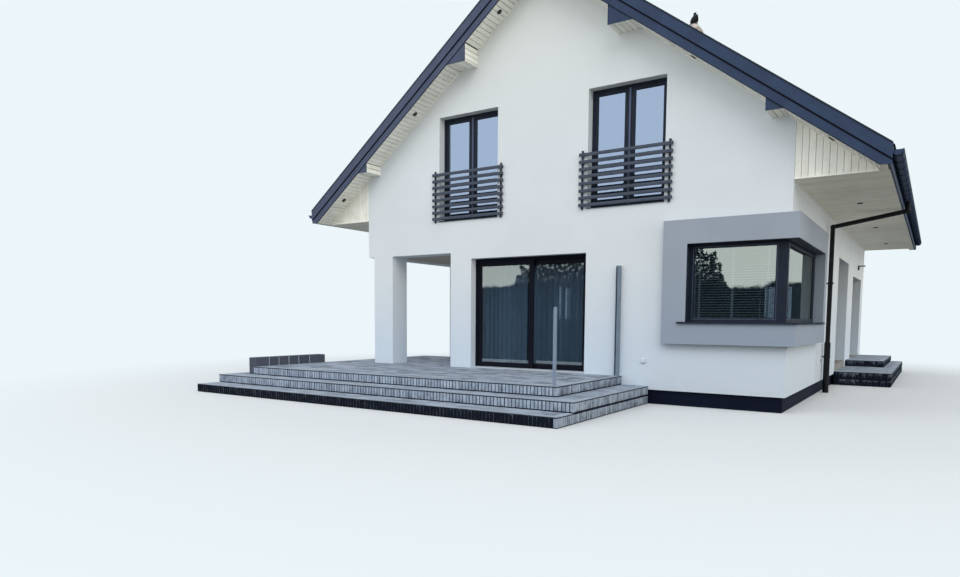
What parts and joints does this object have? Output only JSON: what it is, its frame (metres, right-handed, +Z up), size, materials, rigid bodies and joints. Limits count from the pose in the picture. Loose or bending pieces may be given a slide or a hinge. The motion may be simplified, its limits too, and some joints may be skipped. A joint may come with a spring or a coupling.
{
  "type": "detached house",
  "caption": "Two-storey detached house with a gabled roof, covered terrace corner, framed corner window, sliding terrace door and stepped garden terrace.",
  "frame": {"origin": "on the lawn level, under the middle of the house's box", "axes": "+Y from the garden gable along the ridge to the rear gable, +Z up, +X to the right of the garden gable"},
  "size_m": [12.1, 17.031, 9.15],
  "materials": {
    "render": "fine trowelled mineral render, off-white",
    "grey_render": "fine trowelled mineral render, mid grey",
    "plinth": "dark resin render",
    "floor": "screed",
    "roof_tile": "flat anthracite tiles, matt",
    "dark_metal": "anthracite powder coat, satin",
    "window_profile": "anthracite foiled profile, fine grain",
    "white_cladding": "white grooved soffit boards",
    "glazing": "clear double glazing",
    "sheer": "sheer woven curtain",
    "blind": "satin slats",
    "awning_metal": "satin anodised",
    "block_paving": "grey concrete blocks",
    "lamp": "black, satin",
    "chimney": "light render with a dark cowl"
  },
  "bodies": {
    "house": {"plinth": "plinth", "ground_floor": "floor", "upper_floor": "floor", "front_wall_pier": "render", "front_wall_right": "render", "front_gable": "render", "right_wall": "render", "left_wall": "render", "rear_wall": "render", "loggia_back_wall": "render", "loggia_side_wall": "render", "loggia_column": "render", "loggia_ceiling": "render", "roof_left": "roof_tile", "roof_right": "roof_tile", "ridge_cap": "roof_tile", "front_barge_boards": "dark_metal", "rear_barge_boards": "dark_metal", "verge_soffits": "white_cladding", "purlin_boxes": "white_cladding", "eave_soffits": "white_cladding", "eave_end_panels": "white_cladding", "eave_fascias": "dark_metal", "gutters": "dark_metal", "downpipes": "dark_metal", "french_window_frames": "window_profile", "rear_window_frames": "window_profile", "balcony_railings": "dark_metal", "terrace_door_frame": "window_profile", "fixed_glazing": "glazing", "terrace_curtain": "sheer", "window_surround": "grey_render", "corner_window_frame": "window_profile", "window_sill": "dark_metal", "window_blind": "blind", "side_awning": "awning_metal", "terrace_top": "block_paving", "terrace_steps": "block_paving", "planter_wall": "block_paving", "entrance_steps": "block_paving", "side_doors": "window_profile", "outdoor_lights": "lamp", "chimney": "chimney"},
    "terrace_door_leaf": {"sliding_sash": "window_profile", "sliding_glass": "glazing"}
  },
  "joints": [
    {"name": "terrace_door_slide", "type": "slide", "parent": "house", "child": "terrace_door_leaf", "axis": [-1, 0, 0], "range_m": [0, 1.15]}
  ]
}
